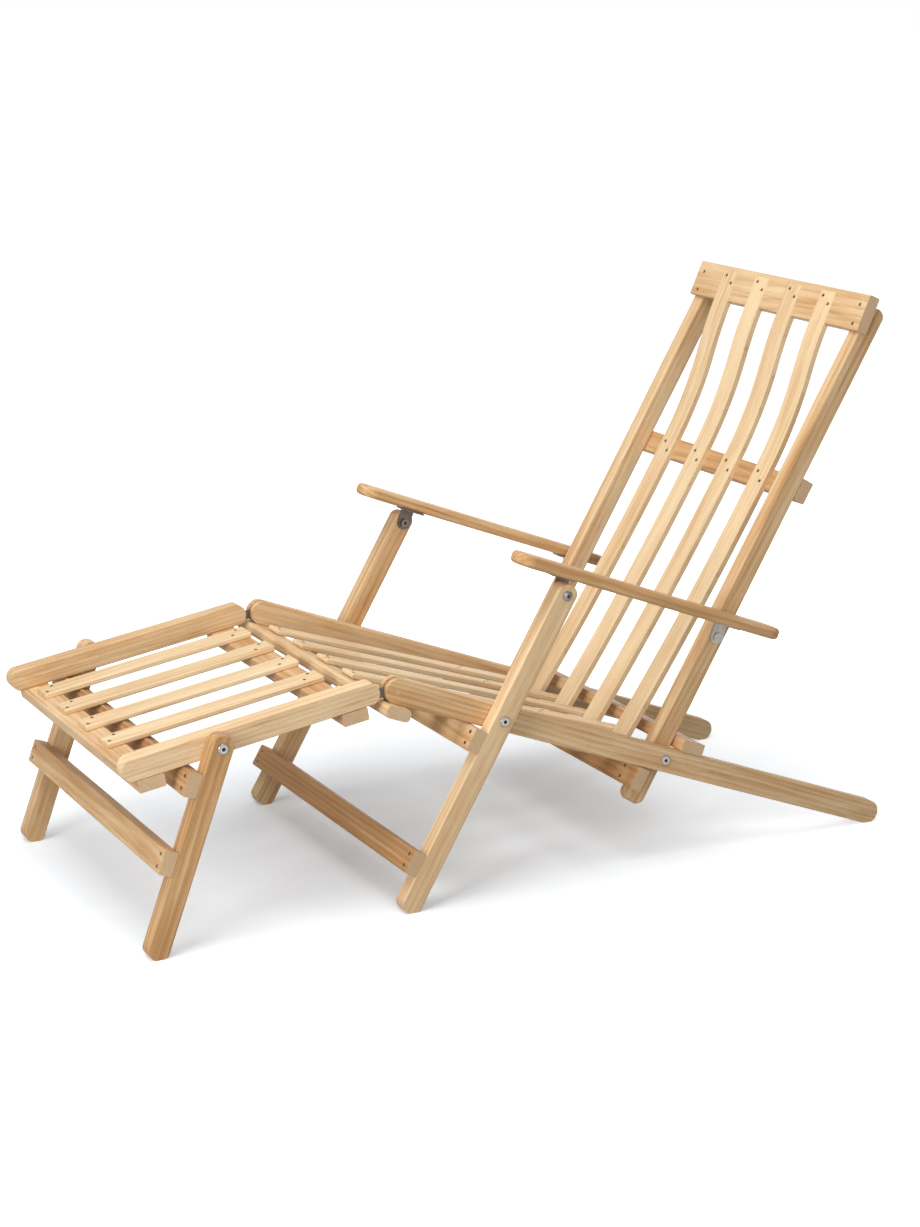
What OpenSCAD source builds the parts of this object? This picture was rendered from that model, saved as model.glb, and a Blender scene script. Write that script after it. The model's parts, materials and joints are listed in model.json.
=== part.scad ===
// Folding deck chair with armrests and a footrest, after a photograph.
// Millimetres. X runs from the footrest back to the headrest, Y across the chair, Z up from the floor.

/* [Overall] */
// Width over the outer faces of the legs
overall_w = 600; // [560:1:640]
// Thickness of rails, legs and uprights
board_t = 26.4; // [22:0.1:29]
// Sliding gap between neighbouring boards at a pivot
side_gap = 0.5; // [0.3:0.05:1]
// Rounding of the long edges of rails, legs and uprights
edge_r = 3; // [1:0.5:5]
// Depth trimmed off the round feet to make flats on the floor
foot_flat = 1.5; // [0.5:0.1:3]

/* [Seat] */
// Height of the leg pivot above the floor
leg_pivot_z = 287; // [270:1:310]
// Fall of the seat rails towards the rear, degrees
rail_slope = 20.5; // [18:0.1:23]
// Height of the seat rails
rail_h = 40; // [36:1:44]
// Leg pivot to the centre of the rail's round front end
rail_front = 180; // [170:1:190]
// Distance between leg pivot and back pivot
pivot_gap = 331; // [320:1:345]
// Rise of the seat slats above the line of the rails, degrees
slat_rise = 2.4; // [1.8:0.1:2.8]
// Distance from the back pivot forward to the rear ends of the seat slats
seat_slat_end = -20; // [-30:1:40]
// Front edge of the front bar to the front end of the seat slats
seat_slat_setback = 20; // [10:1:26]
// Leg pivot to the middle of the rear seat bar
rear_bar_x = 190; // [170:1:210]
// How far the seat's front bar stands past the rails
front_bar_out = 18; // [10:1:24]
// Front end of the seat rails to the front edge of the front bar
front_bar_in = 2; // [0:0.5:6]

/* [Bars and slats] */
// Width of the flat bars
bar_w = 42; // [36:1:46]
// Thickness of the flat bars
bar_t = 20; // [18:0.5:22]
// Height of the bars on legs and uprights
cross_h = 38; // [34:1:42]
// Thickness of the bars on legs and uprights
cross_t = 21.5; // [18:0.5:23]
// Rounding of the bar edges
bar_r = 2.5; // [1:0.5:4]
// Rounding of the nosing on the seat's front bar
nosing_r = 7; // [4:0.5:9]
// Width of every slat
slat_w = 41; // [36:1:44]
// Thickness of every slat
slat_t = 9; // [8:0.5:10]
// Distance between neighbouring slats, middle to middle
slat_pitch = 97; // [90:1:100]
// Shift of the back slats towards the right side
back_slat_shift = 6; // [-7:1:7]
// Rounding of the slat edges
slat_r = 2.5; // [1:0.5:3.5]
// Rounding of the seat slats' ends
slat_end_r = 3.5; // [2:0.5:3.5]
// How far the back slats stand out in front of the middle bar
slat_proud = 8; // [0:0.5:8]
// Planed off each face of a back slat where it is let in
slat_planed = 0.15; // [0.1:0.05:0.3]
// How far a back slat's bends run into the stretches that are let in
slat_lap = 2; // [1:0.5:4]
// Gap between a slat and the groove it lies in
groove_gap = 0.1; // [0.05:0.05:0.2]
// Gap left where two pieces bear on each other at a stop
stop_gap = 0.3; // [0.2:0.05:0.6]

/* [Legs and arms] */
// Width of the front legs
leg_w = 36; // [32:1:40]
// Lean of legs and back from the vertical, degrees
lean = 30; // [28:0.5:32]
// Pivot on the rail to the arm pivot, on legs and uprights alike
arm_lift = 216; // [206:1:226]
// Leg pivot to the middle of the lower stretcher
stretcher_drop = 256; // [236:1:262]
// Armrest width
arm_w = 56; // [50:1:60]
// Armrest thickness
arm_t = 19; // [17:0.5:21]
// Arm pivot to the underside of the armrest
arm_rise = 25; // [24:0.5:29]
// Armrest in front of the front arm pivot
arm_front = 101; // [90:1:110]
// Armrest behind the rear arm pivot
arm_rear = 87; // [75:1:95]
// Rounding of the armrest edges
arm_r = 4; // [2:0.5:6]
// Clear gap between an upright and the armrest
arm_gap = 4; // [3:0.5:6]

/* [Back] */
// Width of the uprights
upright_w = 34; // [32:1:38]
// Back pivot to the top end of the uprights
upright_up = 809; // [780:1:830]
// Back pivot to the lower end of the uprights
upright_down = 86; // [80:1:92]
// Back pivot to the middle of the headrest board
head_z = 792; // [765:1:810]
// How far the headrest board stands out past the uprights, each side
head_over = 5; // [0:0.5:12]
// Height of the headrest board
head_h = 62; // [56:1:68]
// Thickness of the headrest board
head_t = 20; // [18:0.5:22]
// Forward tilt of the headrest board, degrees
head_tilt = 6.4; // [5:0.1:8]
// Line of the uprights to the back of the headrest board
head_offset = 8.5; // [3:0.1:12]
// Top edge of the headrest board to the slat ends
head_slat_stop = 7; // [5:0.5:10]
// Back pivot to the middle of the middle bar
mid_z = 491; // [470:1:505]

/* [Footrest] */
// Gap between the round ends of seat rail and footrest rail
foot_gap = 11; // [9:0.5:14]
// Hinge pin to the line of the footrest rails
foot_lift = 9.8; // [8:0.1:12]
// Rise of the footrest towards the seat, degrees
foot_slope = 9.5; // [8:0.1:11]
// Height of the footrest rails
foot_rail_h = 36; // [34:1:40]
// Footrest leg pivot to the rear end of the footrest rail
foot_rear = 270; // [260:1:280]
// Footrest leg pivot to the front end of the footrest rail
foot_front = 147; // [140:1:155]
// Width of the footrest legs
foot_leg_w = 36; // [34:1:40]
// Footrest pivot to the top end of the footrest legs
foot_leg_up = 20; // [18:0.5:24]
// Lean of the footrest legs from the vertical, degrees
foot_lean = 19.8; // [18:0.1:22]
// Footrest pivot to the middle of the footrest stretcher
foot_stretcher_drop = 183; // [165:1:190]
// Front end of the footrest rail to the front edge of its front bar
foot_bar_setback = 19; // [10:1:24]
// Rear end of the footrest rail to the rear edge of its rear bar
foot_rear_setback = 24; // [22:1:34]
// Front edge of the front bar to the front end of the slats
foot_slat_setback = 12; // [6:1:18]

/* [Metalwork] */
// Pivot bolt diameter
bolt_d = 10; // [8:0.5:11]
// Arm bolt diameter
arm_bolt_d = 8; // [6:0.5:9]
// Running fit between a bolt and its hole, on the radius
run_fit = 0.06; // [0.03:0.01:0.1]
// Diameter of the pivot caps
cap_d = 17; // [15:0.5:19]
// Thickness of the pivot caps
cap_t = 2.6; // [2:0.1:3.5]
// Bevel round the pivot caps
cap_bevel = 1; // [0.5:0.1:1.5]
// Width across the corners of the hex socket
socket_d = 6.4; // [5:0.2:8]
// Metal left under the hex socket
socket_floor = 0.5; // [0.3:0.1:1]
// Diameter of the domed arm bolt heads
dome_d = 16; // [14:0.5:18]
// Height of the domed heads
dome_t = 5; // [4:0.2:6]
// Radius of the dome
dome_r = 12; // [10:0.5:14]
// Diameter of the arm nuts and flat heads
nut_d = 14; // [12:0.5:16]
// Thickness of the arm nuts
nut_t = 5; // [4:0.5:6]
// Thickness of the flat heads on the rear arm bolts
flat_head_t = 1.6; // [1:0.1:2.5]
// Bracket plate thickness
plate_t = 3; // [2:0.5:4]
// Radius of the bracket ear
ear_r = 12; // [10:0.5:14]
// Length of the bracket's top plate
plate_l = 44; // [36:1:50]
// Screw head diameter
screw_d = 6; // [5:0.5:7]
// Screw head thickness
screw_head = 2.4; // [2:0.2:3]
// Screw shank diameter
shank_d = 3.6; // [3:0.2:4.2]
// How far a screw head stands proud
screw_proud = 0.3; // [0.1:0.1:0.6]
// Length of the screws through the bars
screw_l = 30; // [26:1:32]
// Length of the screws through the headrest board
head_screw_l = 28; // [24:1:30]
// Length of the screws through the slats
slat_screw_l = 16; // [13:0.5:17]
// Length of the slat screws into the lower bar
low_screw_l = 20; // [16:1:24]
// Length of the bracket screws
arm_screw_l = 14; // [10:1:15]
// Gap between a fixed screw or pin and its hole
fit_gap = 0.05; // [0.03:0.01:0.1]
// Blade thickness of the footrest hinge
blade_t = 5; // [4:0.5:6]
// Height of the hinge blade
blade_h = 14; // [13:1:20]
// Length of the blade inside the footrest rail
blade_in = 78; // [70:1:85]
// Inner end of the blade to its first pin
blade_pin_end = 29; // [26:1:32]
// Distance between the two blade pins
blade_pin_gap = 26; // [24:1:28]
// Diameter of the blade pins
blade_pin_d = 6; // [5:0.5:7]
// Wood left over the inner ends of the bolts in legs and rails
bolt_cover = 6; // [4:0.5:8]
// Wood left over the ends of the blade pins
pin_cover = 3; // [2:0.5:5]
// Room in the rail's slot behind the blade
blade_room = 2; // [1:0.5:4]
// Dowel diameter
dowel_d = 8; // [6:0.5:10]

/* [Hidden] */
$fn = 64;
half_w = overall_w / 2;
leg_y = half_w - board_t / 2;
rail_y = leg_y - board_t - side_gap;
upright_y = rail_y - board_t - side_gap;
rail_out = rail_y + board_t / 2;
rail_in = rail_y - board_t / 2;
leg_in = leg_y - board_t / 2;
upright_out = upright_y + board_t / 2;
upright_in = upright_y - board_t / 2;
// pivots in the side view, leg pivot at x = 0 before the whole chair is centred
back_x = pivot_gap * cos(rail_slope);
back_z = leg_pivot_z - pivot_gap * sin(rail_slope);
arm_x = arm_lift * sin(lean);
arm_z = leg_pivot_z + arm_lift * cos(lean);
hinge_x = -rail_front * cos(rail_slope);
hinge_z = leg_pivot_z + rail_front * sin(rail_slope);
hinge_span = rail_h / 2 + foot_gap + foot_rail_h / 2;
hinge_reach = foot_rear - foot_rail_h / 2 + sqrt(hinge_span * hinge_span - foot_lift * foot_lift);
foot_x = hinge_x - hinge_reach * cos(foot_slope) - foot_lift * sin(foot_slope);
foot_z = hinge_z - hinge_reach * sin(foot_slope) + foot_lift * cos(foot_slope);
// the hinge blade slants from the pin up to the middle of the footrest rail
blade_run = hinge_reach - foot_rear + blade_in;
blade_tilt = atan(foot_lift / blade_run);
blade_l = sqrt(blade_run * blade_run + foot_lift * foot_lift);
// lengths that bring every foot to the floor
leg_down = (leg_pivot_z - leg_w / 2 + foot_flat) / cos(lean);
rail_rear = (leg_pivot_z - rail_h / 2 + foot_flat) / sin(rail_slope);
foot_leg_down = (foot_z - foot_leg_w / 2 + foot_flat) / cos(foot_lean);
x_front = foot_x - (foot_front - foot_rail_h / 2) * cos(foot_slope) - foot_rail_h / 2;
x_rear = rail_rear * cos(rail_slope) + rail_h / 2;
shift_x = -(x_front + x_rear) / 2;
// stops: bars on legs and uprights bear on the rails' undersides with their front top edges
leg_stop_angle = lean - rail_slope;
leg_stop_top = -(rail_h / 2 + stop_gap + (leg_w / 2 + cross_t) * sin(leg_stop_angle)) / cos(leg_stop_angle);
back_stop_top = -(rail_h / 2 + stop_gap + (upright_w / 2 + cross_t) * sin(leg_stop_angle))
    / cos(leg_stop_angle);
foot_stop_angle = foot_lean + foot_slope;
foot_stop_top = -(foot_rail_h / 2 + stop_gap + (foot_leg_w / 2 + cross_t) * sin(foot_stop_angle))
    / cos(foot_stop_angle);
// rail-top bar behind the uprights
rear_stop_x = (upright_w / 2 + (rail_h / 2 + bar_t) * sin(leg_stop_angle)) / cos(leg_stop_angle) + stop_gap;
// seat slats
front_bar_x = -rail_front - rail_h / 2 + bar_w / 2 + front_bar_in;
seat_slat_x0 = front_bar_x - bar_w / 2 + seat_slat_setback;
seat_slat_x1 = pivot_gap - seat_slat_end;
seat_slat_len = (seat_slat_x1 - seat_slat_x0) / cos(slat_rise);
seat_screw_x = (bar_w - seat_slat_setback) / 2;
rear_bar_at = (rear_bar_x - seat_slat_x0) / cos(slat_rise);
slat_spots = [-2, -1, 0, 1, 2] * slat_pitch;
back_spots = [for (k = [-1.5, -0.5, 0.5, 1.5]) k * slat_pitch + back_slat_shift];
// footrest bars and slats
foot_front_bar_x = -foot_front + foot_bar_setback + bar_w / 2;
foot_rear_bar_x = foot_rear - foot_rear_setback - bar_w / 2;
foot_slat_x0 = foot_front_bar_x - bar_w / 2 + foot_slat_setback;
foot_slat_x1 = foot_rear_bar_x + bar_w / 2;
// back slats: straight on the headrest, two arcs, straight on the middle bar, one long arc to the lower bar
mid_lo = mid_z - cross_h / 2;
mid_hi = mid_z + cross_h / 2;
slat_front_mid = upright_w / 2 - slat_proud;
lower_mid = back_stop_top - cross_h / 2;
slat_low_stop = 1;
back_slat_low = back_stop_top - cross_h + slat_low_stop;
low_span = mid_lo - back_slat_low;
low_bow = upright_w - slat_proud - stop_gap;
low_r = (low_span * low_span + low_bow * low_bow) / (2 * low_bow);
low_angle = asin(low_span / low_r);
low_rise = mid_lo - lower_mid;
slat_rear_low = slat_front_mid - low_r + sqrt(pow(low_r + slat_t, 2) - low_rise * low_rise);
head_foot_z = head_z - head_h / 2 * cos(head_tilt) - head_t * sin(head_tilt);
head_foot_x = head_offset - head_h / 2 * sin(head_tilt) + head_t * cos(head_tilt);
bend_a = head_foot_z - mid_hi;
bend_n = head_foot_x + slat_front_mid;
bend_q2 = 2 - 2 * cos(head_tilt);
bend_q1 = -2 * (bend_a * sin(head_tilt) - bend_n * (1 + cos(head_tilt)));
bend_q0 = bend_a * bend_a + bend_n * bend_n;
bend_r = (-bend_q1 + sqrt(bend_q1 * bend_q1 + 4 * bend_q2 * bend_q0)) / (2 * bend_q2);
bend_angle = asin((bend_a + bend_r * sin(head_tilt)) / (2 * bend_r));
head_slat_l = head_h - head_slat_stop;
lap_angle = slat_lap / bend_r * 180 / PI;
// armrests
arm_in = upright_out + arm_gap;
arm_y = arm_in + arm_w / 2;
ear_gap = 0.3;
over = 1;
ring_fn = 1440;
wood = "BurlyWood";
pale_wood = "Wheat";
steel = "Silver";
dark_steel = "DimGray";

// frames: each puts its children at a pivot, turned with the body they belong to
module at_rail() {
    translate([shift_x, 0, leg_pivot_z]) rotate([0, rail_slope, 0]) children();
}

module at_leg() {
    translate([shift_x, 0, leg_pivot_z]) rotate([0, lean, 0]) children();
}

module at_back() {
    translate([shift_x + back_x, 0, back_z]) rotate([0, lean, 0]) children();
}

module at_head() {
    at_back() translate([-head_offset, 0, head_z]) rotate([0, -head_tilt, 0]) children();
}

module at_arm() {
    translate([shift_x + arm_x, 0, arm_z]) rotate([0, rail_slope, 0]) children();
}

module at_foot() {
    translate([shift_x + foot_x, 0, foot_z]) rotate([0, -foot_slope, 0]) children();
}

// the hinge pin as the footrest sees it, X along the hinge blade
module at_blade() {
    at_foot() translate([hinge_reach, 0, -foot_lift]) rotate([0, blade_tilt, 0]) children();
}

module at_foot_leg() {
    translate([shift_x + foot_x, 0, foot_z]) rotate([0, foot_lean, 0]) children();
}

module at_seat_slats() {
    at_rail() translate([seat_slat_x0, 0, -rail_h / 2]) rotate([0, -slat_rise, 0]) children();
}

// shapes
module round_rect(w, h, r) {
    square([w - 2 * r, h], center = true);
    square([w, h - 2 * r], center = true);
    for (x = [-1, 1], y = [-1, 1]) translate([x * (w / 2 - r), y * (h / 2 - r)]) circle(r = r);
}

module stadium(w, z0, z1) {
    translate([-w / 2, z0 + w / 2]) square([w, z1 - z0 - w]);
    translate([0, z0 + w / 2]) circle(d = w);
    translate([0, z1 - w / 2]) circle(d = w);
}

// board along Z with full round ends and eased long edges
module stick(w, t, z0, z1, r) {
    intersection() {
        rotate([90, 0, 0]) linear_extrude(height = t, center = true) stadium(w, z0, z1);
        translate([0, 0, z0 - over]) linear_extrude(height = z1 - z0 + 2 * over) round_rect(w, t, r);
    }
}

// the same board along X
module stick_x(h, t, x0, x1, r) {
    rotate([0, 90, 0]) stick(h, t, x0, x1, r);
}

// bar along Y, section w in X by h in Z, centred
module bar(len, w, h, r) {
    rotate([90, 0, 0]) linear_extrude(height = len, center = true) round_rect(w, h, r);
}

// slat along X on the XY plane
module slat(len) {
    translate([0, 0, slat_t / 2]) rotate([0, 90, 0]) linear_extrude(height = len)
        rotate(90) round_rect(slat_w, slat_t, slat_r);
}

// hole or shaft along Y
module cross_rod(d, y0, y1) {
    translate([0, y0, 0]) rotate([-90, 0, 0]) cylinder(d = d, h = y1 - y0);
}

// screw driven along +X from the face at x = 0; c widens it into a hole
module screw(len, c = 0) {
    rotate([0, 90, 0]) {
        translate([0, 0, -screw_proud - c]) cylinder(d = screw_d + 2 * c, h = screw_head + screw_proud + c);
        cylinder(d = shank_d + 2 * c, h = len + c);
    }
}

module down_screw(len, c = 0) {
    rotate([0, 90, 0]) screw(len, c);
}

module up_screw(len, c = 0) {
    rotate([0, -90, 0]) screw(len, c);
}

// pivot bolt: cap with a hex socket outside, shank, round nut inside; runs along -Y from y1 to y0
module pivot_bolt(d, y0, y1, inner_cap = true) {
    cross_rod(d, y0, y1 + socket_floor);
    translate([0, y1, 0]) rotate([-90, 0, 0]) difference() {
        union() {
            cylinder(d = cap_d, h = cap_t - cap_bevel);
            translate([0, 0, cap_t - cap_bevel])
                cylinder(d1 = cap_d, d2 = cap_d - 2 * cap_bevel, h = cap_bevel);
        }
        translate([0, 0, socket_floor]) cylinder(d = socket_d, h = cap_t, $fn = 6);
    }
    if (inner_cap) cross_rod(cap_d, y0 - cap_t, y0);
}

// arm bolt with a domed head
module dome_bolt(d, y0, y1) {
    cross_rod(d, y0, y1 + over);
    translate([0, y1, 0]) rotate([-90, 0, 0]) intersection() {
        cylinder(d = dome_d, h = dome_t);
        translate([0, 0, dome_t - dome_r]) sphere(r = dome_r);
    }
    cross_rod(nut_d, y0 - nut_t, y0);
}

// arm bolt with a low flat head
module flat_bolt(d, y0, y1) {
    cross_rod(d, y0, y1 + over);
    cross_rod(nut_d, y1, y1 + flat_head_t);
    cross_rod(nut_d, y0 - nut_t, y0);
}

// everything under the floor line, cut from the feet
module below_floor() {
    translate([-2 * overall_w, -overall_w, -rail_h]) cube([4 * overall_w, 2 * overall_w, rail_h]);
}

// both sides of the chair
module both_sides() {
    children();
    mirror([0, 1, 0]) children();
}

// screw sets, used for the screws and for their holes
module pair_on_bar(y, z, gap, len, c) {
    for (s = [-1, 1], k = [-1, 1]) translate([0, s * y, z + k * gap]) screw(len, c);
}

module leg_screw_set(c = 0) {
    at_leg() translate([-leg_w / 2 - cross_t, 0, 0]) {
        pair_on_bar(leg_y, leg_stop_top - cross_h / 2, cross_h / 4, screw_l, c);
        pair_on_bar(leg_y, -stretcher_drop, cross_h / 4, screw_l, c);
    }
}

module foot_leg_screw_set(c = 0) {
    at_foot_leg() translate([-foot_leg_w / 2 - cross_t, 0, 0]) {
        pair_on_bar(leg_y, foot_stop_top - cross_h / 2, cross_h / 4, screw_l, c);
        pair_on_bar(leg_y, -foot_stretcher_drop, cross_h / 4, screw_l, c);
    }
}

module back_screw_set(c = 0) {
    at_head() translate([-head_t, 0, 0]) {
        for (s = [-1, 1], z = [head_h / 5, -head_h / 3])
            translate([0, s * upright_y, z]) screw(head_screw_l, c);
        for (y = back_spots, k = [-1, 1]) translate([0, y + k * slat_w / 4, head_h / 7 + k * head_h / 10])
            screw(slat_screw_l, c);
    }
    at_back() {
        translate([slat_front_mid, 0, mid_z]) {
            for (y = back_spots, k = [-1, 1]) translate([0, y + k * slat_w / 5, k * cross_h / 5])
                screw(slat_screw_l, c);
        }
        translate([upright_w / 2 + cross_t, 0, mid_z]) for (s = [-1, 1], k = [-1, 1])
            translate([0, s * upright_y, k * cross_h / 4]) mirror([1, 0, 0]) screw(screw_l, c);
        translate([-upright_w / 2 - cross_t, 0, 0])
            pair_on_bar(upright_y, lower_mid, cross_h / 4, screw_l, c);
        for (y = back_spots, k = [-1, 1])
            translate([slat_rear_low, y + k * slat_w / 5, lower_mid])
                mirror([1, 0, 0]) screw(low_screw_l, c);
    }
}

module seat_screw_set(c = 0) {
    at_seat_slats() for (y = slat_spots, k = [-1, 1])
        translate([seat_screw_x + k * slat_t / 2, y + k * slat_w / 4, slat_t]) down_screw(slat_screw_l, c);
    at_seat_slats() for (y = slat_spots, k = [-1, 1])
        translate([rear_bar_at + k * bar_w / 5, y + k * slat_w / 4, slat_t]) down_screw(slat_screw_l, c);
    at_rail() for (s = [-1, 1], k = [-1, 1])
        translate([front_bar_x + k * bar_w / 4, s * (rail_y + k * board_t / 4), -rail_h / 2 - bar_t])
            up_screw(screw_l, c);
}

module foot_screw_set(c = 0) {
    at_foot() {
        for (x = [foot_front_bar_x + foot_slat_setback / 2, foot_rear_bar_x], y = slat_spots, k = [-1, 1])
            translate([x + k * bar_w / 6, y + k * slat_w / 4, slat_t - foot_rail_h / 2])
                down_screw(slat_screw_l, c);
        for (x = [foot_front_bar_x, foot_rear_bar_x], s = [-1, 1], k = [-1, 1])
            translate([x + k * bar_w / 4, s * (rail_y + k * board_t / 4), -foot_rail_h / 2 - bar_t])
                up_screw(screw_l, c);
    }
}

module seat_dowel_set(c = 0) {
    at_seat_slats() both_sides() for (k = [-1, 1])
        translate([rear_bar_at + k * bar_w / 4, rail_in, -bar_t / 2])
            cross_rod(dowel_d + 2 * c, -bar_w / 2, board_t / 2);
}

module blade_pin_set(c = 0) {
    at_blade() both_sides() for (k = [0, 1]) translate([blade_pin_end + k * blade_pin_gap - blade_l, 0, 0])
        cross_rod(blade_pin_d + 2 * c, rail_in + pin_cover - c, rail_out - pin_cover + c);
}

// seat
module seat_rail(s) {
    color(wood) difference() {
        at_rail() difference() {
            translate([0, s * rail_y, 0])
                stick_x(rail_h, board_t, -rail_front - rail_h / 2, rail_rear + rail_h / 2, edge_r);
            translate([0, s * (rail_y + bolt_cover), 0]) cross_rod(bolt_d, -board_t / 2, board_t / 2);
            translate([pivot_gap, s * rail_y, 0]) cross_rod(bolt_d, -board_t, board_t);
            translate([-rail_front, s * rail_y, 0]) {
                cross_rod(dowel_d, -board_t, board_t);
                translate([-rail_h, -blade_t / 2 - side_gap, -rail_h])
                    cube([rail_h + blade_h / 2 + blade_room, blade_t + 2 * side_gap, 2 * rail_h]);
            }
        }
        seat_screw_set(fit_gap);
        seat_dowel_set(fit_gap);
        below_floor();
    }
}

module seat_rail_left() {
    seat_rail(-1);
}

module seat_rail_right() {
    seat_rail(1);
}

module seat_front_bar() {
    color(pale_wood) difference() {
        at_rail() translate([front_bar_x, 0, -rail_h / 2 - bar_t / 2])
            bar(2 * (rail_out + front_bar_out), bar_w, bar_t, nosing_r);
        seat_screw_set(fit_gap);
    }
}

module seat_rear_bar() {
    color(pale_wood) difference() {
        at_seat_slats() translate([rear_bar_at, 0, -bar_t / 2])
            bar(2 * (rail_in - fit_gap), bar_w, bar_t, bar_r);
        seat_screw_set(fit_gap);
        seat_dowel_set(fit_gap);
    }
}

module back_rest_bar() {
    color(pale_wood) at_rail()
        translate([pivot_gap + rear_stop_x + bar_w / 2, 0, rail_h / 2 + bar_t / 2])
            bar(2 * rail_out, bar_w, bar_t, bar_r);
}

module seat_slat(n) {
    color(wood) difference() {
        at_seat_slats() translate([0, slat_spots[n], 0]) intersection() {
            slat(seat_slat_len);
            translate([seat_slat_len / 2, 0, slat_t / 2]) bar(slat_w, seat_slat_len, slat_t, slat_end_r);
        }
        seat_screw_set(fit_gap);
    }
}

module seat_slat_1() {
    seat_slat(0);
}

module seat_slat_2() {
    seat_slat(1);
}

module seat_slat_3() {
    seat_slat(2);
}

module seat_slat_4() {
    seat_slat(3);
}

module seat_slat_5() {
    seat_slat(4);
}

module seat_screws() {
    color(dark_steel) seat_screw_set();
}

module seat_dowels() {
    color(pale_wood) seat_dowel_set();
}

module hinge_pins() {
    color(pale_wood) at_rail() both_sides() translate([-rail_front, 0, 0])
        cross_rod(dowel_d, rail_in, rail_out);
}

module leg_pivot_bolts() {
    color(steel) at_rail() both_sides()
        pivot_bolt(bolt_d, rail_in + bolt_cover, half_w + ear_gap, inner_cap = false);
}

module back_pivot_bolts() {
    color(steel) at_rail() both_sides() translate([pivot_gap, 0, 0])
        pivot_bolt(bolt_d, upright_in - ear_gap, rail_out);
}

// back
module upright(s) {
    color(wood) difference() {
        at_back() difference() {
            translate([0, s * upright_y, 0]) stick(upright_w, board_t, -upright_down, upright_up, edge_r);
            translate([0, s * upright_y, 0]) cross_rod(bolt_d + 2 * run_fit, -board_t, board_t);
            translate([0, s * upright_y, arm_lift]) cross_rod(arm_bolt_d, -board_t, board_t);
        }
        at_head() translate([-2 * upright_w, -half_w, -head_h / 2 - groove_gap])
            cube([2 * upright_w, 2 * half_w, 2 * head_h]);
        back_screw_set(fit_gap);
    }
}

module upright_left() {
    upright(-1);
}

module upright_right() {
    upright(1);
}

module headrest_board() {
    color(pale_wood) difference() {
        at_head() difference() {
            translate([-head_t / 2, 0, 0]) bar(2 * (upright_out + head_over), head_t, head_h, bar_r);
            for (y = back_spots)
                translate([-head_t - over, y - slat_w / 2 - groove_gap, -head_h / 2 - over])
                    cube([slat_t + groove_gap + over, slat_w + 2 * groove_gap,
                        head_slat_l + groove_gap + over]);
        }
        back_screw_set(fit_gap);
    }
}

module mid_back_bar() {
    color(pale_wood) difference() {
        at_back() difference() {
            translate([upright_w / 2 + cross_t / 2, 0, mid_z]) bar(2 * upright_out, cross_t, cross_h, bar_r);
            for (y = back_spots)
                translate([upright_w / 2 - over, y - slat_w / 2 - groove_gap, mid_lo - over])
                    cube([slat_t - slat_proud + groove_gap + over, slat_w + 2 * groove_gap,
                        cross_h + 2 * over]);
        }
        back_screw_set(fit_gap);
    }
}

module lower_back_bar() {
    color(pale_wood) difference() {
        at_back() translate([-upright_w / 2 - cross_t / 2, 0, lower_mid])
            bar(2 * rail_out, cross_t, cross_h, bar_r);
        back_screw_set(fit_gap);
    }
}

// part of a ring between two directions, angles from +X of the drawing
module ring_part(r_in, r_out, a0, a1) {
    reach = 2 * r_out;
    intersection() {
        difference() {
            circle(r = r_out, $fn = ring_fn);
            circle(r = r_in, $fn = ring_fn);
        }
        polygon([[0, 0], [reach * cos(a0), reach * sin(a0)], [reach * cos(a1), reach * sin(a1)]]);
    }
}

// point where the two bends of a back slat meet, X across the slat
module at_bend() {
    translate([slat_front_mid - bend_r * (1 - cos(bend_angle)), mid_hi + bend_r * sin(bend_angle)])
        rotate(bend_angle) children();
}

// side view of a back slat: drawing x is the back's X, drawing y runs up the uprights;
// the stretches let into middle bar and headrest are planed a little thinner
module back_slat_profile() {
    translate([slat_front_mid - low_r, mid_lo]) ring_part(low_r, low_r + slat_t, -low_angle, 0);
    translate([slat_front_mid + slat_planed, mid_lo]) square([slat_t - 2 * slat_planed, cross_h]);
    at_bend() {
        translate([-bend_r, 0]) ring_part(bend_r, bend_r + slat_t, -bend_angle - lap_angle, 0);
        translate([bend_r, 0])
            ring_part(bend_r - slat_t, bend_r, 180 + head_tilt - bend_angle - lap_angle, 180);
    }
    translate([-head_foot_x, head_foot_z]) rotate(head_tilt) translate([slat_planed, 0])
        square([slat_t - 2 * slat_planed, head_slat_l]);
}

module back_slat(n) {
    color(wood) difference() {
        at_back() translate([0, back_spots[n], 0]) rotate([90, 0, 0])
            linear_extrude(height = slat_w, center = true) back_slat_profile();
        back_screw_set(fit_gap);
    }
}

module back_slat_1() {
    back_slat(0);
}

module back_slat_2() {
    back_slat(1);
}

module back_slat_3() {
    back_slat(2);
}

module back_slat_4() {
    back_slat(3);
}

module back_screws() {
    color(dark_steel) back_screw_set();
}

module arm_rear_bolts() {
    color(steel) at_back() both_sides() translate([0, 0, arm_lift])
        flat_bolt(arm_bolt_d, upright_in, upright_out + 2 * ear_gap + plate_t);
}

// front legs
module front_leg(s) {
    color(wood) difference() {
        at_leg() difference() {
            translate([0, s * leg_y, 0])
                stick(leg_w, board_t, -leg_down - leg_w / 2, arm_lift + leg_w / 2, edge_r);
            translate([0, s * leg_y, 0]) cross_rod(bolt_d + 2 * run_fit, -board_t, board_t);
            translate([0, s * leg_y, arm_lift]) cross_rod(arm_bolt_d, -board_t, board_t);
        }
        leg_screw_set(fit_gap);
        below_floor();
    }
}

module front_leg_left() {
    front_leg(-1);
}

module front_leg_right() {
    front_leg(1);
}

module leg_stop_bar() {
    color(pale_wood) difference() {
        at_leg() translate([-leg_w / 2 - cross_t / 2, 0, leg_stop_top - cross_h / 2])
            bar(overall_w, cross_t, cross_h, bar_r);
        leg_screw_set(fit_gap);
    }
}

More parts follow.
